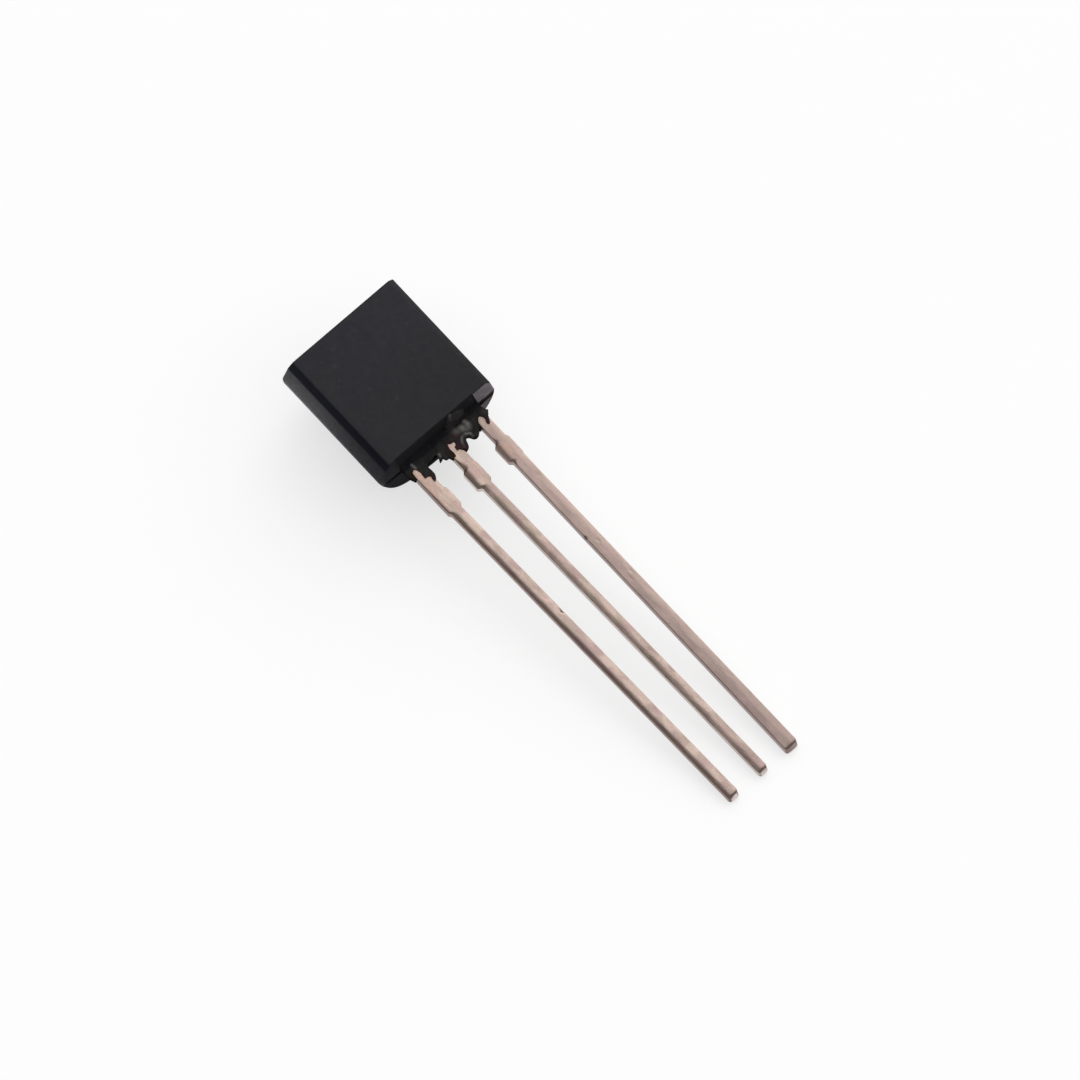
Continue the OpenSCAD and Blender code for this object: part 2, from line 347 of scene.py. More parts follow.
# %% [markdown]
# ## The leads
#
# Each lead is a thin flat strip with soft edges, with a wider stub where the bar that joined the
# three was cut away. A box would do for the shape, but its edges would be too sharp and its
# sides too straight. So each lead starts as a round tube with many rings, and every ring is
# squeezed into the strip's section at that place: a rectangle with rounded corners. The trimming
# tool has pressed the upper left corner down into a slope, which runs on to the tips of the left
# and the middle lead and ends just below the stub on the right one.

# %% Sizes of the leads
PITCH = 1.27
LEAD_OFFSET = 0.06
STUB_START = 1.25
STUB_LENGTH = 0.85
STUB_SLOPE = 0.13
STUB_END = STUB_START + STUB_LENGTH
ROOT_INSIDE = 0.5
EDGE_ROUND = 0.05
TIP_ROUND = 0.12
TIP_SLANT = 0.09
SLANT_REACH = 0.5
# The tip's rounding stops at this share, so that a small flat end is left
TIP_ROUNDED = 0.95

# Widths at the root, at the stub, below it and at the tip. A shift is how far the middle is off
# the pitch at the last three. The sides are bare from bare_from under the top, and this fades
# out again over the last bare_to above the bottom.
LEADS = {
    "emitter_lead": dict(
        place=-1, root=0.45, stub=0.52, side=0.375, tip=0.385,
        stub_shift=0.035, side_shift=0.03, tip_shift=0.24, bare_from=0.03, bare_to=0.14),
    "base_lead": dict(
        place=0, root=0.43, stub=0.55, side=0.335, tip=0.345,
        stub_shift=-0.035, side_shift=-0.01, tip_shift=0.17, bare_from=0.09, bare_to=0.12),
    "collector_lead": dict(
        place=1, root=0.38, stub=0.55, side=0.415, tip=0.475,
        stub_shift=-0.03, side_shift=0.005, tip_shift=0.045, bare_from=0.03, bare_to=0.03),
}
print("leads:", len(LEADS), "at", [round(LEAD_OFFSET + lead["place"] * PITCH, 3)
                                   for lead in LEADS.values()], "mm across")

# %% Where the leads are pressed and dented
# The pressed corner: how far down, width of the low ledge, width of the slope, its depth
PRESSED = {
    "emitter_lead": [(0.5, 0, 0.02, 0.02), (1.9, 0, 0.05, 0.04), (2.3, 0, 0.11, 0.08)],
    "base_lead": [(0.8, 0, 0.02, 0.02), (1.4, 0, 0.16, 0.1), (2.0, 0, 0.13, 0.09),
                  (2.4, 0.02, 0.12, 0.06)],
    "collector_lead": [(1.1, 0, 0.01, 0.01), (1.4, 0, 0.13, 0.09), (2.0, 0, 0.12, 0.08),
                       (2.25, 0, 0.01, 0.01)],
}

# Dents: lead, how far down, how far across from its left side, radius, depth
DENTS = [
    ("emitter_lead", 6.58, 0.35, 0.085, 0.06), ("emitter_lead", 6.0, 0.3, 0.12, 0.012),
    ("emitter_lead", 6.28, 0.37, 0.06, 0.028),
    ("collector_lead", 5.33, 0.0, 0.08, 0.05), ("collector_lead", 5.65, 0.24, 0.08, 0.02),
    ("collector_lead", 7.03, 0.33, 0.05, 0.03), ("collector_lead", 7.22, 0.18, 0.05, 0.02),
    ("collector_lead", 2.9, 0.3, 0.14, 0.014), ("base_lead", 4.4, 0.25, 0.2, 0.012),
    ("base_lead", 9.3, 0.2, 0.18, 0.012), ("emitter_lead", 10.8, 0.25, 0.22, 0.012),
]
print("dents:", len(DENTS), "of which the deepest is", max(dent[-1] for dent in DENTS), "mm")


# %% The strip's sides along a lead
def strip_at(lead, down):
    """Left side, right side and corner rounding at the tip."""
    on = smooth(between(down, STUB_START, STUB_START + STUB_SLOPE))
    off = smooth(between(down, STUB_END - STUB_SLOPE, STUB_END))
    run = between(down, STUB_END, LEAD_LENGTH)
    side = lead["side"] + run * (lead["tip"] - lead["side"])
    side_shift = lead["side_shift"] + run * (lead["tip_shift"] - lead["side_shift"])
    width = lead["root"] + on * (lead["stub"] - lead["root"]) + off * (side - lead["stub"])
    shift = on * lead["stub_shift"] + off * (side_shift - lead["stub_shift"])
    middle = LEAD_OFFSET + lead["place"] * PITCH + shift
    near_tip = max(0, TIP_ROUND - (LEAD_LENGTH - down))
    inset = TIP_ROUND - (TIP_ROUND ** 2 - min(near_tip, TIP_ROUND * TIP_ROUNDED) ** 2) ** 0.5
    return middle - width / 2 + inset, middle + width / 2 - inset, inset


def pressed_at(name, down):
    """Ledge, slope and drop of the pressed corner, changing smoothly between their places."""
    rows = [(0, *PRESSED[name][0][1:]), *PRESSED[name], (LEAD_LENGTH, *PRESSED[name][-1][1:])]
    for before, after in zip(rows, rows[1:]):
        if down <= after[0]:
            share = smooth(between(down, before[0], after[0]))
            return [a + (b - a) * share for a, b in zip(before[1:], after[1:])]
    return rows[-1][1:]


# %% The ring of points round the strip at one place
POINTS_PER_CORNER = 12
POINTS_ACROSS = 12
RING_POINTS = 4 * POINTS_PER_CORNER + POINTS_ACROSS
LEAST_PRESSED = 0.008
A_HAIR = 1e-6
print("points in a ring:", RING_POINTS)


def soft_path(controls, count):
    """Points along a smooth curve that starts and ends at the first and last control."""
    pieces = len(controls) - 2
    points = []
    for step in range(count):
        place = min(step / (count - 1) * pieces, pieces - A_HAIR)
        n = int(place)
        t = place - n
        a, b, c = (Vector(controls[n + k]) for k in range(3))
        start = a if n == 0 else (a + b) / 2
        end = c if n == pieces - 1 else (b + c) / 2
        points.append(start * (1 - t) ** 2 + b * 2 * t * (1 - t) + end * t * t)
    return points


def ring_at(name, down):
    """Points round the section, from the right side over the top to the left and below."""
    left, right, inset = strip_at(LEADS[name], down)
    top, bottom, e = LEAD_TOP - inset, inset - LEAD_TOP, EDGE_ROUND
    ledge, slope, drop = (max(LEAST_PRESSED, size) for size in pressed_at(name, down))
    flat_end = left + ledge + slope + e
    ledge_side = top - drop - ledge / 3
    corners = [
        [(right, top - e), (right, top), (right - e, top)],
        [(flat_end, top), (flat_end - e, top), (left + ledge, top - drop), (left, ledge_side),
         (left, ledge_side - e)],
        [(left, bottom + e), (left, bottom), (left + e, bottom)],
        [(right - e, bottom), (right, bottom), (right, bottom + e)]]
    points = [point for corner in corners for point in soft_path(corner, POINTS_PER_CORNER)]
    across = [Vector((right - e + (flat_end - right + e) * (n + 1) / (POINTS_ACROSS + 1), top))
              for n in range(POINTS_ACROSS)]
    return points[:POINTS_PER_CORNER] + across + points[POINTS_PER_CORNER:]


# %% Where the rings go: close together at the stubs and the tip
# The tube is cut into many pieces and each piece into a few more. Each zone has the place
# where it ends and its number of rings.
FIRST_CUTS = 56
SECOND_CUTS = 4
ZONES = [(1.2, 17), (2.2, 40), (LEAD_LENGTH - 0.3, 205), (LEAD_LENGTH - 0.07, 12),
         (LEAD_LENGTH, 11)]

ring_places = [-ROOT_INSIDE]
for zone_end, count in ZONES:
    zone_start = ring_places[-1]
    ring_places += [zone_start + (zone_end - zone_start) * (n + 1) / count
                    for n in range(count)]
print(len(ring_places), "rings a lead, of", (FIRST_CUTS + 1) * (SECOND_CUTS + 1) + 1)


# %% A round tube with its points in rings
# An edge that is this long in y runs along the tube
RUNS_ALONG = 0.1


def ringed_tube(name):
    """The tube, and its rings from the root to the tip."""
    length = LEAD_LENGTH + ROOT_INSIDE
    bpy.ops.mesh.primitive_cylinder_add(
        vertices=RING_POINTS, radius=LEAD_TOP, depth=length,
        rotation=(radians(90), 0, 0), location=(0, ROOT_INSIDE - length / 2, 0))
    piece = new_piece(name + "_strip")
    for cuts in (FIRST_CUTS, SECOND_CUTS):
        pick(piece, edges=lambda edge: (
            abs(edge.verts[0].co.y - edge.verts[1].co.y) > RUNS_ALONG))
        bpy.ops.mesh.subdivide(number_cuts=cuts)
    done()
    rings = {}
    for v in piece.data.vertices:
        rings.setdefault(round(v.co.y, 3), []).append(v)
    return piece, [rings[y] for y in sorted(rings, reverse=True)]


def angle_round(v):
    """Where in its ring a point is, as an angle that starts half a step before the right."""
    turn = Vector((v.co.x, v.co.z)).angle_signed(Vector((1, 0)))
    return (turn + pi / RING_POINTS) % (2 * pi)


# %% Dents, and how worn each point of a lead is
# Dents are only in the upper side, and the deeper ones are painted darker
DENTED_FROM = 0.05
DARK_DENT_DEPTH = 0.03
WEAR = ("bare", "dirt", "cut")
BARE_FADE = 0.05
CUT_REACH = 0.03
RIM_STARTS = 0.08
RIM_FULL = 0.04
RIM_DARKENING = 0.6


def dent_share(name, down, x):
    """Depth of the dents at a place, and how near it is to the middle of a darkened one."""
    left = strip_at(LEADS[name], down)[0]
    depth = nearness = 0
    for who, dent_down, across, radius, deep in DENTS:
        if who == name:
            away = Vector((down - dent_down, x - left - across)).length / radius
            share = smooth(1 - min(1, away))
            depth += deep * share
            nearness = max(nearness, share if deep > DARK_DENT_DEPTH else 0)
    return depth, nearness


def worn(name, down, z, in_dent):
    """How bare, how darkened and how freshly cut a point is, in the order of WEAR."""
    bare_from, bare_to = LEADS[name]["bare_from"], LEADS[name]["bare_to"]
    cut = smooth(between(down, LEAD_LENGTH - CUT_REACH, LEAD_LENGTH))
    bare = (smooth(between(LEAD_TOP - z, bare_from, bare_from + BARE_FADE))
            * smooth(between(z + LEAD_TOP, 0, bare_to)) * (1 - cut))
    # A band just before the tip is painted darker
    rim = smooth(between(down, LEAD_LENGTH - RIM_STARTS, LEAD_LENGTH - RIM_FULL)) - cut
    return bare, in_dent + RIM_DARKENING * max(0, rim), cut


# %% The tube squeezed into a strip
WAVE_DEPTH = 0.006
WAVES_ACROSS = 4
WAVES_ALONG = 1.6
WAVES_GROW_OVER = (1, 2)


def make_lead(name):
    """A tube whose points are moved to the strip's section, wavy, dented and slanted."""
    piece, rings = ringed_tube(name)
    for layer in WEAR:
        piece.data.attributes.new(layer, "FLOAT", "POINT")
    layers = [piece.data.attributes[layer].data for layer in WEAR]
    for down, ring in zip(ring_places, rings):
        slant = TIP_SLANT * smooth(between(down, LEAD_LENGTH - SLANT_REACH, LEAD_LENGTH))
        for v, (x, z) in zip(sorted(ring, key=angle_round), ring_at(name, down)):
            spot = Vector((x * WAVES_ACROSS, down * WAVES_ALONG, z * WAVES_ACROSS))
            wave = WAVE_DEPTH * between(down, *WAVES_GROW_OVER) * noise.noise(spot)
            dent, in_dent = dent_share(name, down, x) if z > DENTED_FROM else (0, 0)
            for layer, value in zip(layers, worn(name, down, z, in_dent)):
                layer[v.index].value = value
            v.co = (x, slant * (z + LEAD_TOP) / (2 * LEAD_TOP) - down, z + wave - dent)
    return piece


leads = {name: make_lead(name) for name in LEADS}
for name, lead in leads.items():
    print(name + ":", len(lead.data.polygons), "faces")

# %% [markdown]
# ## The torn resin
#
# In the mould, liquid resin runs out between the leads as far as the bar that joins them. When
# the bar is cut, that resin tears off and leaves a ragged edge. Its outline is already in the CAD
# body, so a copy of the body is sliced at the lead end, only what sticks out there is kept, and
# its cut faces are pulled back into the body to hold it. Tongues and lips that lie over the leads
# are flat shapes drawn from listed points and given a thickness, and round lumps are icospheres.
# A voxel remesh melts all of them into one skin. A displace modifier roughens it and a smooth
# modifier takes the steps of the voxels away.

# %% The strips between the leads, from the CAD body
TORN_FROM = -0.004
ANCHOR = 0.16

resin = bench_copy("moulded_body", "torn_resin")
bpy.ops.object.mode_set(mode="EDIT")
bpy.ops.mesh.select_all(action="SELECT")
bpy.ops.mesh.bisect(plane_co=(0, TORN_FROM, 0), plane_no=(0, 1, 0), use_fill=True,
                    clear_outer=True, threshold=0.0001)
pick(resin, faces=lambda face: (
    face.normal.y > FACING and face.calc_center_median().y > 2 * TORN_FROM))
bpy.ops.mesh.extrude_region_move(TRANSFORM_OT_translate={"value": (0, ANCHOR, 0)})
done()
print("strips:", len(resin.data.polygons), "faces", [round(v, 2) for v in resin.dimensions])


# %% One sheet and one lump
def sheet(low, high, outline):
    """A flat shape between two heights."""
    bpy.ops.mesh.primitive_circle_add(vertices=len(outline), radius=1, fill_type="NGON")
    piece = new_piece("sheet")
    for v, (x, y) in zip(piece.data.vertices, outline):
        v.co = (x, y, low)
    pick(piece, faces=lambda face: True)
    bpy.ops.mesh.extrude_region_move(TRANSFORM_OT_translate={"value": (0, 0, high - low)})
    bpy.ops.mesh.select_all(action="SELECT")
    bpy.ops.mesh.normals_make_consistent(inside=False)
    done()
    return piece


def lump(x, y, z, half_x, half_y, half_z):
    """A round lump, from its middle and its half sizes."""
    bpy.ops.mesh.primitive_ico_sphere_add(
        subdivisions=3, radius=1, location=(x, y, z), scale=(half_x, half_y, half_z))
    return new_piece("lump")


# %% Tongues, lips and lumps, listed one by one
LEFT_TONGUE = [
    (-1.24, ANCHOR), (-1.25, -0.3), (-1.22, -0.45), (-1.2, -0.6), (-1.22, -0.7), (-1.14, -0.71),
    (-1.07, -0.74), (-1.04, -0.8), (-1.06, -0.9), (-1.05, -0.98), (-0.99, -0.93), (-0.92, -0.84),
    (-0.9, -0.7), (-0.91, -0.5), (-0.87, -0.4), (-0.85, ANCHOR)]
LEFT_ROOT = [
    (-1.56, ANCHOR), (-1.56, -0.2), (-1.53, -0.38), (-1.49, -0.5), (-1.455, -0.58),
    (-1.42, -0.46), (-1.38, -0.33), (-1.33, -0.27), (-1.25, -0.3), (-1.2, ANCHOR)]
MIDDLE_FILM = [
    (-0.22, ANCHOR), (-0.23, -0.5), (-0.22, -0.74), (-0.19, -0.84), (-0.13, -0.79), (-0.05, -0.8),
    (-0.03, -0.68), (-0.04, -0.5), (-0.01, -0.36), (0.05, ANCHOR)]
MIDDLE_TONGUE = [
    (-0.01, ANCHOR), (-0.01, -0.34), (0.08, -0.33), (0.18, -0.38), (0.22, -0.46), (0.18, -0.53),
    (0.1, -0.55), (0.1, -0.7), (0.17, -0.69), (0.22, -0.77), (0.28, -0.8), (0.3, -0.86),
    (0.34, -0.86), (0.43, -0.8), (0.47, -0.7), (0.49, -0.6), (0.5, ANCHOR)]
RIGHT_ROOT = [
    (1.0, ANCHOR), (1.04, -0.4), (1.06, -0.58), (1.1, -0.66), (1.12, -0.58), (1.19, -0.42),
    (1.26, -0.33), (1.32, -0.32), (1.37, -0.4), (1.39, -0.52), (1.35, -0.64), (1.38, -0.69),
    (1.45, -0.64), (1.5, -0.52), (1.55, -0.45), (1.6, -0.37), (1.62, -0.28), (1.57, -0.22),
    (1.56, ANCHOR)]
# Each sheet has its low height, its high height and its outline
SHEETS = [(-0.1, 0.245, LEFT_TONGUE), (-0.12, 0.235, LEFT_ROOT), (0.05, 0.24, MIDDLE_FILM),
          (-0.05, 0.25, MIDDLE_TONGUE), (-0.1, 0.245, RIGHT_ROOT)]
# Each lump has its middle and its half sizes
LUMPS = [
    (-1.27, -0.16, 0.24, 0.03, 0.14, 0.03), (-0.42, -0.46, 0.1, 0.06, 0.1, 0.12),
    (-0.98, -0.72, 0.1, 0.08, 0.2, 0.12), (0.4, -0.7, 0.12, 0.07, 0.13, 0.12),
    (0.15, -0.3, 0.22, 0.12, 0.1, 0.06), (0.62, -0.22, 0.17, 0.2, 0.16, 0.1),
    (0.85, -0.2, 0.18, 0.14, 0.18, 0.12), (0.56, -0.44, 0.15, 0.12, 0.06, 0.08),
    (0.73, -0.56, 0.12, 0.05, 0.12, 0.1), (0.88, -0.6, 0.08, 0.12, 0.1, 0.1),
    (1.03, -0.25, 0.18, 0.14, 0.36, 0.075), (1.47, -0.34, 0.16, 0.08, 0.16, 0.1),
    (0.62, 0.12, 0.48, 0.36, 0.13, 0.42), (0.42, 0.08, 0.32, 0.22, 0.11, 0.22),
    (0.86, 0.1, 0.42, 0.2, 0.1, 0.26), (0.48, 0.14, 0.93, 0.09, 0.08, 0.09),
    (-0.24, -0.25, 0.185, 0.17, 0.42, 0.055), (-0.3, -0.6, 0.17, 0.1, 0.12, 0.05)]
print(len(SHEETS), "sheets and", len(LUMPS), "lumps")

# %% The splinter that broke off beside the right lead
BROKEN_OFF = [(2.0, -0.26), (1.7, -0.36), (1.63, -0.28), (1.57, -0.22), (1.56, -0.012),
              (2.0, -0.012)]
UNDER_ALL = -0.3
OVER_ALL = 0.4
cut_away(resin, sheet(UNDER_ALL, OVER_ALL, BROKEN_OFF))
print("strips without the splinter:", len(resin.data.polygons), "faces")

# %% Melt them into one torn edge
VOXEL = 0.018
ROUGH_SIZE = 0.25
ROUGH_DEPTH = 0.06

parts = [sheet(*each) for each in SHEETS] + [lump(*each) for each in LUMPS]
only(resin, *parts)
bpy.ops.object.join()
apply_modifier(resin, "REMESH", mode="VOXEL", voxel_size=VOXEL)
torn_noise = bpy.data.textures.new("torn_noise", "CLOUDS")
torn_noise.noise_scale = ROUGH_SIZE
torn_noise.noise_depth = 2
apply_modifier(resin, "DISPLACE", texture=torn_noise, texture_coords="LOCAL",
               strength=ROUGH_DEPTH, mid_level=0.5)
apply_modifier(resin, "SMOOTH", factor=0.5, iterations=4)
print("torn resin:", len(resin.data.polygons), "faces")

# %% [markdown]
# ## Finishes
#
# At this size every surface shows its grain. Each pattern is counted in bench millimetres, so
# that a grain of 0.05 means 0.05 mm. The patterns that several finishes share are node groups
# with named sockets. A group hands out plain numbers only, and each finish decides what they do.

# %% Adding nodes
# The Mix node's sockets for two colours and their mix
COLOUR_A = 6
COLOUR_B = 7
COLOUR_MIX = 2


def add(tree, kind, inputs=(), **settings):
    """Adds a node. Each input gets a number or a colour, or is linked to another node."""
    node = tree.nodes.new("ShaderNode" + kind)
    for setting, value in settings.items():
        setattr(node, setting, value)
    for socket, value in dict(inputs).items():
        if isinstance(value, bpy.types.NodeSocket):
            tree.links.new(value, node.inputs[socket])
        else:
            node.inputs[socket].default_value = value
    return node


def maths(tree, operation, a, b):
    """One step of arithmetic with two numbers."""
    return add(tree, "Math", {0: a, 1: b}, operation=operation).outputs[0]


def times(tree, a, b):
    """The two numbers multiplied."""
    return maths(tree, "MULTIPLY", a, b)


def plus(tree, a, b):
    """The two numbers added."""
    return maths(tree, "ADD", a, b)


def span(tree, value, low, high, to_low=0.0, to_high=1.0):
    """Turns the span from low to high into another one, with soft ends."""
    return add(tree, "MapRange", {"Value": value, "From Min": low, "From Max": high,
                                  "To Min": to_low, "To Max": to_high},
               interpolation_type="SMOOTHSTEP").outputs["Result"]


def blend(tree, share, a, b):
    """Colour a where the share is 0, and colour b where it is 1."""
    colours = {socket: colour if isinstance(colour, bpy.types.NodeSocket) else (*colour, 1)
               for socket, colour in ((COLOUR_A, a), (COLOUR_B, b))}
    return add(tree, "Mix", {0: share, **colours}, data_type="RGBA").outputs[COLOUR_MIX]


# %% Starting a node group
def new_group(name, numbers, output):
    """The group, what is given to it, and the socket for its result."""
    group = bpy.data.node_groups.new(name, "ShaderNodeTree")
    group.interface.new_socket(name="Vector", in_out="INPUT", socket_type="NodeSocketVector")
    for number, value in numbers.items():
        socket = group.interface.new_socket(name=number, in_out="INPUT",
                                            socket_type="NodeSocketFloat")
        socket.default_value = value
    group.interface.new_socket(name=output, in_out="OUTPUT", socket_type="NodeSocketFloat")
    return (group, group.nodes.new("NodeGroupInput").outputs,
            group.nodes.new("NodeGroupOutput").inputs[0])


def per(tree, size):
    """How many of a size fit in a millimetre, which is a texture's scale."""
    return maths(tree, "DIVIDE", 1.0, size)


# Most of what a noise texture gives lies in this span
NOISE_SPAN = (0.3, 0.7)

# %% Mottling: soft patches
mottling, given, result = new_group("mottling", {"Patch Size": 0.5}, "Tone")
cloud = add(mottling, "TexNoise", {"Vector": given["Vector"], "Detail": 3.0,
                                   "Scale": per(mottling, given["Patch Size"])})
mottling.links.new(span(mottling, cloud.outputs[0], *NOISE_SPAN), result)
print("group:", mottling.name)

# %% Fine grain
fine_grain, given, result = new_group("fine_grain", {"Grain Size": 0.05}, "Height")
cloud = add(fine_grain, "TexNoise", {"Vector": given["Vector"], "Detail": 2.0,
                                     "Scale": per(fine_grain, given["Grain Size"])})
fine_grain.links.new(cloud.outputs[0], result)
print("group:", fine_grain.name)

# %% Specks: a share of all cells has one, each of its own size
specks, given, result = new_group(
    "specks", {"Spacing": 0.2, "Size": 0.25, "Share": 0.3}, "Mask")
cells = add(specks, "TexVoronoi", {"Vector": given["Vector"],
                                   "Scale": per(specks, given["Spacing"])})
dice = add(specks, "SeparateColor", {0: cells.outputs["Color"]})
chosen = maths(specks, "LESS_THAN", dice.outputs[0], given["Share"])
reach = times(specks, given["Size"], dice.outputs[1])
near = span(specks, cells.outputs["Distance"], 0.0, reach, 1.0, 0.0)
specks.links.new(times(specks, near, chosen), result)
print("group:", specks.name)

# %% Streaks: patches that are drawn out along the leads
streaks, given, result = new_group("streaks", {"Width": 0.03, "Length": 0.8}, "Tone")
across = per(streaks, given["Width"])
stretch = add(streaks, "CombineXYZ", {"X": across, "Y": per(streaks, given["Length"]),
                                      "Z": across})
stretched = add(streaks, "VectorMath", {0: given["Vector"], 1: stretch.outputs[0]},
                operation="MULTIPLY")
lines = add(streaks, "TexNoise", {"Vector": stretched.outputs[0], "Scale": 1.0, "Detail": 3.0})
streaks.links.new(span(streaks, lines.outputs[0], *NOISE_SPAN), result)
print("group:", streaks.name)


# %% What every finish starts with
def new_finish(name, roughness, metallic=0.0, specular=0.5):
    """A material, its shader, and the place on its piece in bench millimetres."""
    material = bpy.data.materials.new(name)
    material.use_nodes = True
    tree = material.node_tree
    shader = tree.nodes["Principled BSDF"]
    shader.inputs["Roughness"].default_value = roughness
    shader.inputs["Metallic"].default_value = metallic
    shader.inputs["Specular IOR Level"].default_value = specular
    back = bench_to_table.inverted()
    to_bench = add(tree, "Mapping", {
        "Vector": add(tree, "TexCoord").outputs["Object"], "Scale": (1 / MM, 1 / MM, 1 / MM),
        "Rotation": (-rest_turn.angle, 0, 0), "Location": back.translation})
    return material, tree, shader, to_bench.outputs["Vector"]


def pattern(tree, group, vector, **numbers):
    """The result of a node group, with its own sizes."""
    inputs = {number.replace("_", " ").title(): value for number, value in numbers.items()}
    node = add(tree, "Group", node_tree=group)
    tree.links.new(vector, node.inputs["Vector"])
    for socket, value in inputs.items():
        node.inputs[socket].default_value = value
    return node.outputs[0]


def painted(tree, layer):
    """The values that were put on the points of the mesh under this name."""
    return add(tree, "Attribute", attribute_name=layer).outputs["Fac"]


def bump(tree, shader, height, depth):
    """Depth is in millimetres."""
    node = add(tree, "Bump", {"Height": height, "Distance": depth * MM})
    tree.links.new(node.outputs[0], shader.inputs["Normal"])


# %% [markdown]
# ### Black epoxy
#
# The same resin looks different where the mould was different, so one recipe makes seven
# finishes, and some of them carry painted light and shade. The flat face and the top end are
# matt, since those parts of the mould are blasted, with a fine even grain and a few light specks
# of filler. The sides and the round back are smoother and a little lighter, and duller towards
# the lead end, and they have a violet tinge that is lost towards the right. The flat face, the
# sides and the bevels have painted shade towards the lead end. The bevels are cool on the left
# and warm on the right. The wall at the lead end is dull above the leads, and under them it is a
# lighter copy with painted light; both have a painted highlight at their right corner. The recess
# and the band are a plain dark grey that turns a little red at the right.

# %% The recipe for epoxy from the mould
FILLER = (0.2, 0.2, 0.21)
SMALL_PATCH = 0.3
GLOSSIER = 0.03
DULLER = 0.04
LEAD_END_SHADE_FADE = (0.4, 3.8)
LEAST_RIGHT_SHARE = 0.75


def moulded_epoxy(name, dark, light, roughness, specular, patch, grain, grain_depth, speck,
                  shaded_lead_end=None, right_part=None):
    """Shaded lead end is a colour of painted shade and a roughness towards the lead end. Right
    part is a colour and where it starts and is full, going right."""
    material, tree, shader, place = new_finish(name, roughness, specular=specular)
    where = add(tree, "SeparateXYZ", {0: place}).outputs
    tone = pattern(tree, mottling, place, patch_size=patch)
    colour = blend(tree, tone, dark, light)
    small_tone = pattern(tree, mottling, place, patch_size=SMALL_PATCH * patch)
    rough = span(tree, small_tone, 0, 1, roughness - GLOSSIER, roughness + DULLER)
    if shaded_lead_end:
        end_shade, end_roughness = shaded_lead_end
        # Painted shade: the colour turns darker towards the lead end
        low = span(tree, where["Y"], *LEAD_END_SHADE_FADE, 1, 0)
        colour = blend(tree, low, colour, end_shade)
        rough = plus(tree, rough, times(tree, low, end_roughness - roughness))
    smudge = pattern(tree, specks, place, spacing=0.4, size=0.34, share=0.3)
    dot = pattern(tree, specks, place, spacing=0.13, size=0.4, share=0.1)
    dust = plus(tree, times(tree, smudge, speck), times(tree, dot, 2 * speck))
    colour = blend(tree, dust, colour, FILLER)
    if right_part:
        right_colour, starts, full = right_part
        uneven = span(tree, tone, 0, 1, LEAST_RIGHT_SHARE, 1)
        share = times(tree, span(tree, where["X"], starts, full), uneven)
        colour = blend(tree, share, colour, right_colour)
    tree.links.new(colour, shader.inputs["Base Color"])
    tree.links.new(rough, shader.inputs["Roughness"])
    bump(tree, shader, pattern(tree, fine_grain, place, grain_size=grain), grain_depth)
    return material


# %% Flat face, sides and bevels
# The colour in each shaded lead end is painted shade
matt_epoxy = moulded_epoxy(
    "matt_epoxy", (0.0070, 0.0060, 0.0118), (0.0088, 0.0080, 0.0112), roughness=0.5,
    specular=0.22, patch=0.5, grain=0.03, grain_depth=0.002, speck=0.045,
    shaded_lead_end=((0.0060, 0.0054, 0.0080), 0.5))
smooth_epoxy = moulded_epoxy(
    "smooth_epoxy", (0.0125, 0.0113, 0.0208), (0.0168, 0.0158, 0.0272), roughness=0.36,
    specular=0.07, patch=0.5, grain=0.06, grain_depth=0.002, speck=0.03,
    shaded_lead_end=((0.0044, 0.0047, 0.0095), 0.56),
    right_part=((0.0125, 0.0120, 0.0140), -1.4, -0.4))
bevel_epoxy = moulded_epoxy(
    "bevel_epoxy", (0.0090, 0.0098, 0.0155), (0.0112, 0.0120, 0.0180), roughness=0.45,
    specular=0.04, patch=0.5, grain=0.05, grain_depth=0.002, speck=0.02,
    shaded_lead_end=((0.0064, 0.0069, 0.0118), 0.45))
warm_epoxy = moulded_epoxy(
    "warm_epoxy", (0.0062, 0.0054, 0.0058), (0.0078, 0.0068, 0.0072), roughness=0.5,
    specular=0.07, patch=0.5, grain=0.03, grain_depth=0.002, speck=0.03)
print("finishes:", [each.name for each in (matt_epoxy, smooth_epoxy, bevel_epoxy, warm_epoxy)])

# %% The wall at the lead end, above and under the leads, and its recess and band
# The dull wall's lighter right part is a painted highlight
dull_epoxy = moulded_epoxy(
    "dull_epoxy", (0.0110, 0.0105, 0.0136), (0.0158, 0.0150, 0.0184), roughness=0.55,
    specular=0.02, patch=0.3, grain=0.05, grain_depth=0.004, speck=0.03,
    right_part=((0.165, 0.150, 0.164), 1.1, 1.5))
# Under the leads the wall is a lighter copy with painted light, and its right part is a painted
# highlight
lit_under_epoxy = moulded_epoxy(
    "lit_under_epoxy", (0.0260, 0.0255, 0.0280), (0.0340, 0.0330, 0.0360), roughness=0.55,
    specular=0.0, patch=0.3, grain=0.05, grain_depth=0.004, speck=0.03,
    right_part=((0.125, 0.112, 0.116), 1.1, 1.5))
deep_epoxy = moulded_epoxy(
    "deep_epoxy", (0.0142, 0.0134, 0.0155), (0.0180, 0.0175, 0.0192), roughness=0.6,
    specular=0.02, patch=0.2, grain=0.05, grain_depth=0.004, speck=0.0,
    right_part=((0.030, 0.020, 0.022), 1.45, 1.65))
print("finishes:", [each.name for each in (dull_epoxy, lit_under_epoxy, deep_epoxy)])

# %% Torn epoxy: rough, with grey dust and painted highlights on it, red or brown where it is thin, and painted shade at the wall and low down
TORN_DARK = (0.018, 0.0178, 0.0175)
TORN_LIGHT = (0.030, 0.0292, 0.0285)
WALL_SHADE = (0.0140, 0.0130, 0.0148)
WALL_SHADE_FADE = (-0.15, -0.06)
WALL_SHADE_UNEVEN = 0.06
LOW_SHADE = (0.010, 0.010, 0.0105)
LOW_SHADE_FADE = (0, 0.15)
LEAST_FILM = 0.7
# The dust layer also carries painted highlights
FILMS = {"dust": (0.175, 0.168, 0.160), "brown_film": (0.022, 0.014, 0.006),
         "red_film": (0.040, 0.016, 0.022)}

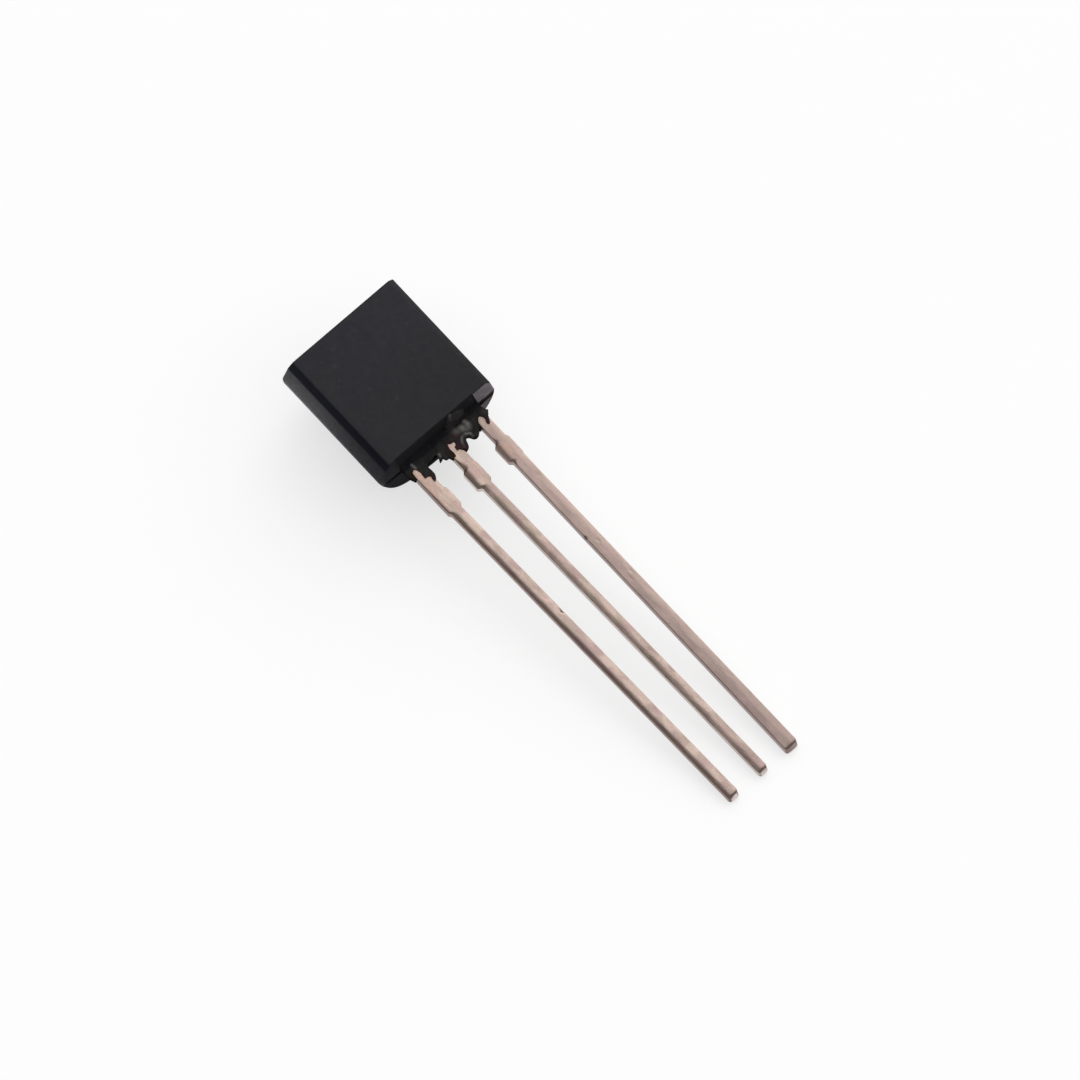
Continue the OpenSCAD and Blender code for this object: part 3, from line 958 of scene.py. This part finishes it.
torn_epoxy, tree, shader, place = new_finish("torn_epoxy", roughness=0.6, specular=0.0)
where = add(tree, "SeparateXYZ", {0: place}).outputs
tone = pattern(tree, mottling, place, patch_size=0.25)
speckle = span(tree, pattern(tree, mottling, place, patch_size=0.09), 0, 1, LEAST_FILM, 1)
colour = blend(tree, tone, TORN_DARK, TORN_LIGHT)
uneven_y = plus(tree, where["Y"], times(tree, tone, WALL_SHADE_UNEVEN))
# Painted shade where the torn resin meets the wall
colour = blend(tree, span(tree, uneven_y, *WALL_SHADE_FADE), colour, WALL_SHADE)
# Painted shade low down
colour = blend(tree, span(tree, where["Z"], *LOW_SHADE_FADE, 1, 0), colour, LOW_SHADE)
for layer, film_colour in FILMS.items():
    colour = blend(tree, times(tree, painted(tree, layer), speckle), colour, film_colour)
tree.links.new(colour, shader.inputs["Base Color"])
bump(tree, shader, pattern(tree, fine_grain, place, grain_size=0.05), depth=0.008)
print("finish:", torn_epoxy.name, "with", ", ".join(FILMS))

# %% [markdown]
# ### Tinned copper
#
# The strip was plated before it was stamped. Age makes the tin dull and lets some of the
# copper's warm colour through, in patches that are longer than they are wide. The stamping
# and the bending left fine lines along the strip. The sides and the cut ends were bared by the
# stamping, and where they are follows the values that the points of the leads were given. On
# the left lead the sides are bare copper with painted shade, on the middle lead they carry a
# painted reflection of the table, and on the right lead painted light; the bright cut ends are
# partly a painted highlight. The three leads have aged differently, so the finish is a recipe
# with its own amount of tarnish for each. The right one is the darkest, but for a ragged paler
# stripe along its right edge.

# %% Colours of the leads
CLEAN_TIN = (0.43, 0.33, 0.285)
TARNISH = (0.235, 0.176, 0.163)
PINK = (0.34, 0.235, 0.222)
OLIVE = (0.29, 0.255, 0.19)
# The left lead's side colours, bare copper and purple, are partly painted shade
SHADED_BARE_COPPER = (0.31, 0.195, 0.143)
SHADED_PURPLE = (0.29, 0.198, 0.202)
# Painted light on the right lead's sides
LIT_SIDE = (0.48, 0.36, 0.335)
DARK_TONE = (0.085, 0.06, 0.055)
ORANGE = (0.41, 0.26, 0.19)
# Bright cut ends, partly a painted highlight, and a painted reflection on the middle lead's sides
FRESH_CUT_AND_PAINTED_LIGHT = (0.86, 0.76, 0.73)
print("clean tin:", CLEAN_TIN, "tarnish:", TARNISH)

# %% How aged and how tinted a lead is at each place, and its relief
AGES_ALONG = (-2.0, -LEAD_LENGTH)
AGE_PATCHES = 0.3
AGE_GRAINS = 0.12
LINES_HIGH = 0.4
GRAINS_HIGH = 0.8
PITS_DEEP = 1.0


def aged(tree, place, along, tarnish, tip_tarnish, contrast):
    """The share of tarnish, and the patches and grains that make it uneven."""
    age = span(tree, along, *AGES_ALONG, tarnish, tip_tarnish)
    patches = pattern(tree, streaks, place, width=0.3, length=0.9)
    grains = pattern(tree, mottling, place, patch_size=0.055)
    for tone, depth in ((patches, AGE_PATCHES), (grains, AGE_GRAINS)):
        age = plus(tree, age, span(tree, tone, 0, 1, -depth * contrast, depth * contrast))
    return age, patches, grains


def tint(tree, place, shift, width, length, starts, full=1, most=1):
    """Where a tint shows and how much, in streaks with a place of their own."""
    shifted = add(tree, "VectorMath", {0: place, 1: shift}, operation="ADD").outputs[0]
    tone = pattern(tree, streaks, shifted, width=width, length=length)
    return span(tree, tone, starts, full, 0, most)


def lead_relief(tree, place, pits):
    """The height of the fine lines and grains, with the pits below them."""
    lines = pattern(tree, streaks, place, width=0.03, length=0.25)
    fine = pattern(tree, fine_grain, place, grain_size=0.04)
    relief = plus(tree, times(tree, lines, LINES_HIGH), times(tree, fine, GRAINS_HIGH))
    return plus(tree, relief, times(tree, pits, -PITS_DEEP))


# %% A lead's finish
PINK_MOST = 0.7
OLIVE_MOST = 0.5
ORANGE_MOST = 0.5
ORANGE_ALONG = (-2.4, -1.2)
RAGGED = 0.06
LEAST_BARE = 0.75
PIT_DARKENING = 0.6
ROUGH_FRESH = 0.34
ROUGH_OLD = 0.5
OLD_AND_BARE = 1.5


def lead_finish(name, tarnish, tip_tarnish, contrast, sides, sides_in_patches=None,
                pale_edge=None):
    """Contrast is how blotchy the lead is. Sides can have a second colour in patches. A pale
    edge is where the stripe starts and is full, going right, and how much it lacks tarnish."""
    material, tree, shader, place = new_finish(name, roughness=0.36, metallic=1.0)
    where = add(tree, "SeparateXYZ", {0: place}).outputs
    age, patches, grains = aged(tree, place, where["Y"], tarnish, tip_tarnish, contrast)
    if pale_edge:
        starts, full, lacking = pale_edge
        ragged = plus(tree, where["X"], span(tree, patches, 0, 1, -RAGGED, RAGGED))
        age = plus(tree, age, span(tree, ragged, starts, full, 0, -lacking))
    colour = blend(tree, age, CLEAN_TIN, TARNISH)

    pink = tint(tree, place, shift=(3.1, 0, 5.7), width=0.35, length=0.6, starts=0.5,
                most=PINK_MOST * contrast)
    colour = blend(tree, pink, colour, PINK)
    olive = tint(tree, place, shift=(7.3, 4.1, 1.9), width=0.25, length=0.5, starts=0.6,
                 most=OLIVE_MOST * contrast)
    colour = blend(tree, olive, colour, OLIVE)
    warm = tint(tree, place, shift=(2.2, 8.5, 4.4), width=0.25, length=0.5, starts=0.35, full=0.9)
    near_root = span(tree, where["Y"], *ORANGE_ALONG, 0, ORANGE_MOST)
    colour = blend(tree, times(tree, near_root, warm), colour, ORANGE)

    # The cut ends are bright, partly a painted highlight
    bright_cut_end = times(tree, painted(tree, "cut"), 1 - tip_tarnish)
    colour = blend(tree, bright_cut_end, colour, FRESH_CUT_AND_PAINTED_LIGHT)
    bare = painted(tree, "bare")
    if sides_in_patches:
        sides = blend(tree, patches, sides, sides_in_patches)
    uneven = span(tree, grains, 0, 1, LEAST_BARE, 1)
    # Each lead's side colour goes on its stamped sides: bare copper with painted shade on the left
    # lead, a painted reflection on the middle one and painted light on the right one
    colour = blend(tree, times(tree, bare, uneven), colour, sides)
    pits = pattern(tree, specks, place, spacing=0.3, size=0.13, share=0.25)
    # Pits, the deeper dents and the band before the tip are painted darker
    dark_share = plus(tree, times(tree, pits, PIT_DARKENING), painted(tree, "dirt"))
    colour = blend(tree, dark_share, colour, DARK_TONE)

    tree.links.new(colour, shader.inputs["Base Color"])
    rough = span(tree, plus(tree, age, bare), 0, OLD_AND_BARE, ROUGH_FRESH, ROUGH_OLD)
    tree.links.new(rough, shader.inputs["Roughness"])
    bump(tree, shader, lead_relief(tree, place, pits), depth=0.005)
    return material


lead_finishes = {
    # Left lead: its sides are bare copper with painted shade
    "emitter_lead": lead_finish(
        "tinned_left", tarnish=0.15, tip_tarnish=0.3, contrast=1, sides=SHADED_BARE_COPPER,
        sides_in_patches=SHADED_PURPLE),
    # Middle lead: its sides carry a painted reflection of the table
    "base_lead": lead_finish(
        "tinned_middle", tarnish=0.15, tip_tarnish=0.3, contrast=1, sides=FRESH_CUT_AND_PAINTED_LIGHT),
    # Right lead: its sides carry painted light
    "collector_lead": lead_finish(
        "tinned_right", tarnish=0.68, tip_tarnish=0.98, contrast=0.4, sides=LIT_SIDE,
        pale_edge=(1.34, 1.49, 0.42))}
print("finishes:", [each.name for each in lead_finishes.values()])

# %% [markdown]
# ### Inside the body
#
# The chip, its glue and its two wires can't be seen, but each has its own finish all the same:
# flaky silver glue, polished silicon with faint blue patches, and drawn gold wire.

# %% Inner finishes
def inner_finish(name, colour, other, roughness, metallic, group, depth, **numbers):
    """Two colours in the group's pattern, which also makes the relief."""
    material, tree, shader, place = new_finish(name, roughness, metallic)
    tone = pattern(tree, group, place, **numbers)
    tree.links.new(blend(tree, tone, colour, other), shader.inputs["Base Color"])
    bump(tree, shader, tone, depth)
    return material


silver_glue = inner_finish(
    "silver_glue", (0.55, 0.55, 0.53), (0.38, 0.38, 0.37), roughness=0.5, metallic=0.5,
    group=fine_grain, depth=0.004, grain_size=0.03)
silicon = inner_finish(
    "silicon", (0.10, 0.11, 0.14), (0.12, 0.14, 0.2), roughness=0.15, metallic=0.0,
    group=mottling, depth=0.0005, patch_size=0.1)
gold = inner_finish(
    "gold", (0.85, 0.62, 0.22), (0.78, 0.55, 0.2), roughness=0.25, metallic=1.0,
    group=streaks, depth=0.0005, width=0.01, length=0.2)
print("finishes:", [each.name for each in (silver_glue, silicon, gold)])

# %% [markdown]
# ## Finishes on the pieces
#
# The body is one piece with seven finishes. Its cuts and bevels left it with flat faces that each
# lie on one side of a border, so a face's place and the way it faces are enough to choose its
# finish.

# %% Which faces of the body have which finish
BODY_FINISHES = (smooth_epoxy, matt_epoxy, bevel_epoxy, warm_epoxy, dull_epoxy, lit_under_epoxy,
                 deep_epoxy)
FACES_TOP_END = 0.5
FACES_FRONT = 0.1
RECESS_FROM = 0.1
TOUCH = 0.001
CLOSE = 0.01


def finish_at(face):
    """The finish of one face of the body."""
    x, y, z = face.center
    if face.normal.y > FACES_TOP_END:
        return matt_epoxy
    inside = y - end_wall(z)
    in_recess = (abs(x + RECESS_LEAN * (z - LEAD_TOP)) < RECESS_HALF + TOUCH
                 and inside < RECESS_DEPTH + CLOSE and z > RECESS_FROM)
    if (abs(z) < LEAD_TOP + TOUCH or in_recess) and inside < SEAM_DEPTH + CLOSE:
        return deep_epoxy
    if z > WALL_TOP and inside > CLOSE and face.normal.z > FACES_FRONT:
        if abs(x) < FLAT_HALF + CLOSE:
            return matt_epoxy
        return bevel_epoxy if x < 0 else warm_epoxy
    if inside < EDGE_ROUNDING + CLOSE:
        # Under the leads the wall takes its lighter copy, which has painted light
        return dull_epoxy if z > 0 else lit_under_epoxy
    return smooth_epoxy


body.data.materials.clear()
for material in BODY_FINISHES:
    body.data.materials.append(material)
for face in body.data.polygons:
    face.material_index = BODY_FINISHES.index(finish_at(face))
used = [face.material_index for face in body.data.polygons]
for index, material in enumerate(BODY_FINISHES):
    print(material.name + ":", used.count(index), "faces")

# %% [markdown]
# The torn resin has grey dust and painted highlights on its high places and rims, and where it is
# a thin film over a lead, light comes through it red or brown. These spots belong to places and
# not to a pattern, so they are put on one by one: each is a short stroke, and the points near it
# get a value that its finish reads.

# %% Where the torn resin has dust and painted highlights, and where it is a thin film
# Each stroke has two ends as x and y, a reach and a strength
# The strokes round the rims of the right chunk, on the ridge at the far left and on the tooth are
# painted highlights; the rest is dust
DUST_AND_HIGHLIGHTS = [
    (0.45, -0.22, 0.62, -0.27, 0.2, 0.6), (0.62, -0.25, 0.84, -0.33, 0.2, 0.8),
    (0.84, -0.17, 0.88, -0.3, 0.14, 0.9), (0.33, -0.74, 0.37, -0.6, 0.07, 0.6),
    (0.37, -0.6, 0.46, -0.48, 0.07, 0.7), (0.48, -0.46, 0.62, -0.45, 0.06, 0.5),
    (0.62, -0.45, 0.75, -0.55, 0.08, 0.7), (0.75, -0.55, 0.74, -0.72, 0.07, 0.4),
    (0.42, 0.02, 0.85, 0.03, 0.3, 0.13), (0.47, 0.08, 0.5, 0.14, 0.1, 0.4),
    (-1.25, -0.13, -1.24, -0.28, 0.08, 0.8), (-0.41, -0.42, -0.43, -0.48, 0.08, 0.8),
    (1.48, -0.28, 1.54, -0.36, 0.14, 0.12)]
RED_FILMS = [
    (0.08, -0.4, 0.2, -0.5, 0.2, 0.8), (0.2, -0.6, 0.36, -0.8, 0.16, 1),
    (-0.04, -0.36, -0.06, -0.48, 0.14, 0.8), (-1.12, -0.72, -1.05, -0.8, 0.13, 1),
    (1.42, -0.5, 1.36, -0.66, 0.1, 0.8), (1.46, -0.22, 1.55, -0.38, 0.13, 0.5),
    (0.3, -0.28, 0.42, -0.38, 0.16, 0.6)]
BROWN_FILMS = [
    (-0.1, -0.5, -0.14, -0.8, 0.15, 1), (1.24, -0.34, 1.1, -0.55, 0.12, 1),
    (1.1, -0.55, 1.07, -0.68, 0.1, 1), (-1.44, -0.34, -1.48, -0.56, 0.13, 1)]


# %% Painting with strokes
def paint(piece, name, strokes):
    """Each point gets the strength of the strongest stroke at its place."""
    layer = piece.data.attributes.new(name, "FLOAT", "POINT")
    for v in piece.data.vertices:
        most = 0
        for x1, y1, x2, y2, reach, strength in strokes:
            along = Vector((x2 - x1, y2 - y1))
            away = Vector((v.co.x - x1, v.co.y - y1))
            share = between(away.dot(along) / along.length_squared, 0, 1)
            near = 1 - (away - along * share).length / reach
            most = max(most, strength * smooth(max(0, near)))
        layer.data[v.index].value = most
    print(name + ":", len(strokes), "strokes")


# The dust layer holds dust and painted highlights
paint(resin, "dust", DUST_AND_HIGHLIGHTS)
paint(resin, "red_film", RED_FILMS)
paint(resin, "brown_film", BROWN_FILMS)

# %% [markdown]
# ## Everything to its place
#
# The finished pieces are tipped back from the bench to the table. Each one then rides on the
# part's only body, and the CAD piece that it was made for is hidden. The chip, its glue and its
# wires need no new shape: they only get their finishes.

# %% Put them down
resin.data.materials.clear()
resin.data.materials.append(torn_epoxy)
for piece in [body, resin, *leads.values()]:
    only(piece)
    bpy.ops.object.shade_smooth_by_angle(angle=radians(35))
    lay_down(piece)
    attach(piece, "root")
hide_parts("moulded_body")
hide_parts("moulded_body")
for name, piece in leads.items():
    piece.data.materials.append(lead_finishes[name])
    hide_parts(name)
for node, material in [("chip_glue", silver_glue), ("chip", silicon),
                       ("emitter_wire", gold), ("base_wire", gold)]:
    cad = frame["nodes"][node]
    cad.data.materials.clear()
    cad.data.materials.append(material)
    print(node + ":", material.name)

# %% [markdown]
# ## The table, the light and the camera
#
# The table is a sheet of white paper. For the camera, and in what the metal mirrors, it glows as
# well, so that it stays white without more light on the part, but it keeps the part's shadow. The
# light is a sky that is brightest up on the right, with one big soft lamp in about the same
# direction. The camera is well over a metre away and has a very long lens, because from close
# by the near end of such a small part would look too big.

# %% Table
TABLE_SIZE = 6
PAPER_DARK = (0.94, 0.94, 0.94)
PAPER_LIGHT = (0.955, 0.955, 0.955)
GLOW_SHARE = 0.65

bpy.ops.mesh.primitive_plane_add(size=TABLE_SIZE, location=(0, 0, 0))
table = new_piece("table")
white_table, tree, shader, place = new_finish("white_table", roughness=0.9, specular=0.0)
paper = pattern(tree, fine_grain, place, grain_size=1.5)
tree.links.new(blend(tree, paper, PAPER_DARK, PAPER_LIGHT), shader.inputs["Base Color"])
rays = add(tree, "LightPath").outputs
seen = plus(tree, plus(tree, rays["Is Camera Ray"], rays["Is Glossy Ray"]),
            rays["Is Transmission Ray"])
glow = add(tree, "Emission", {"Color": (1, 1, 1, 1), "Strength": 1.0})
mixed = add(tree, "MixShader", {0: times(tree, seen, GLOW_SHARE), 1: shader.outputs[0],
                                2: glow.outputs[0]})
tree.links.new(mixed.outputs[0], tree.nodes["Material Output"].inputs["Surface"])
table.data.materials.append(white_table)
print("table:", TABLE_SIZE, "m wide")

# %% Sky
BRIGHTEST = Vector((0.55, 0.12, 0.83)).normalized()
SKY_FADE = (0.15, 0.75)
DIM_LEVEL = 0.2
BRIGHT_LEVEL = 1.28

world = bpy.data.worlds.new("studio")
bpy.context.scene.world = world
world.use_nodes = True
sky = world.node_tree
direction = add(sky, "TexCoord").outputs["Generated"]
aim = add(sky, "VectorMath", {0: direction, 1: BRIGHTEST}, operation="DOT_PRODUCT")
level = span(sky, aim.outputs["Value"], *SKY_FADE, DIM_LEVEL, BRIGHT_LEVEL)
background = sky.nodes["Background"]
sky.links.new(level, background.inputs["Strength"])
background.inputs["Color"].default_value = (1, 1, 1, 1)
print("sky: from", DIM_LEVEL, "to", BRIGHT_LEVEL)

# %% Lamp
KEY_FROM = Vector((0.75, 0.35, 1.1))
KEY_SIZE = 0.8
KEY_POWER = 2.8

bpy.ops.object.light_add(type="AREA", location=KEY_FROM)
key = bpy.context.object
key.name = "key_softbox"
key.data.size = KEY_SIZE
key.data.energy = KEY_POWER
key.rotation_euler = KEY_FROM.to_track_quat("Z", "Y").to_euler()
print("lamp:", round(KEY_FROM.length, 2), "m away")

# %% Camera
CAMERA_BACK = Vector((-0.20523277, -0.35925583, 0.91039264))
CAMERA_AIM = Vector((-0.00257, 0.20841, 2.08166)) * MM
CAMERA_DISTANCE = 1.4555029
CAMERA_ROLL = radians(-13.0045)
LENS = 1606.4545

camera_data = bpy.data.cameras.new("camera")
camera = bpy.data.objects.new("camera", camera_data)
bpy.context.scene.collection.objects.link(camera)
bpy.context.scene.camera = camera
camera_data.lens = LENS
camera_data.sensor_width = 36
camera_data.clip_start = 0.1
camera_data.clip_end = 10
camera.location = CAMERA_AIM + CAMERA_BACK * CAMERA_DISTANCE
camera.rotation_mode = "QUATERNION"
camera.rotation_quaternion = ((-CAMERA_BACK).to_track_quat("-Z", "Y")
                              @ Quaternion((0, 0, 1), CAMERA_ROLL))

bpy.context.scene.view_settings.view_transform = "Standard"
print("camera:", round(CAMERA_DISTANCE, 2), "m away")
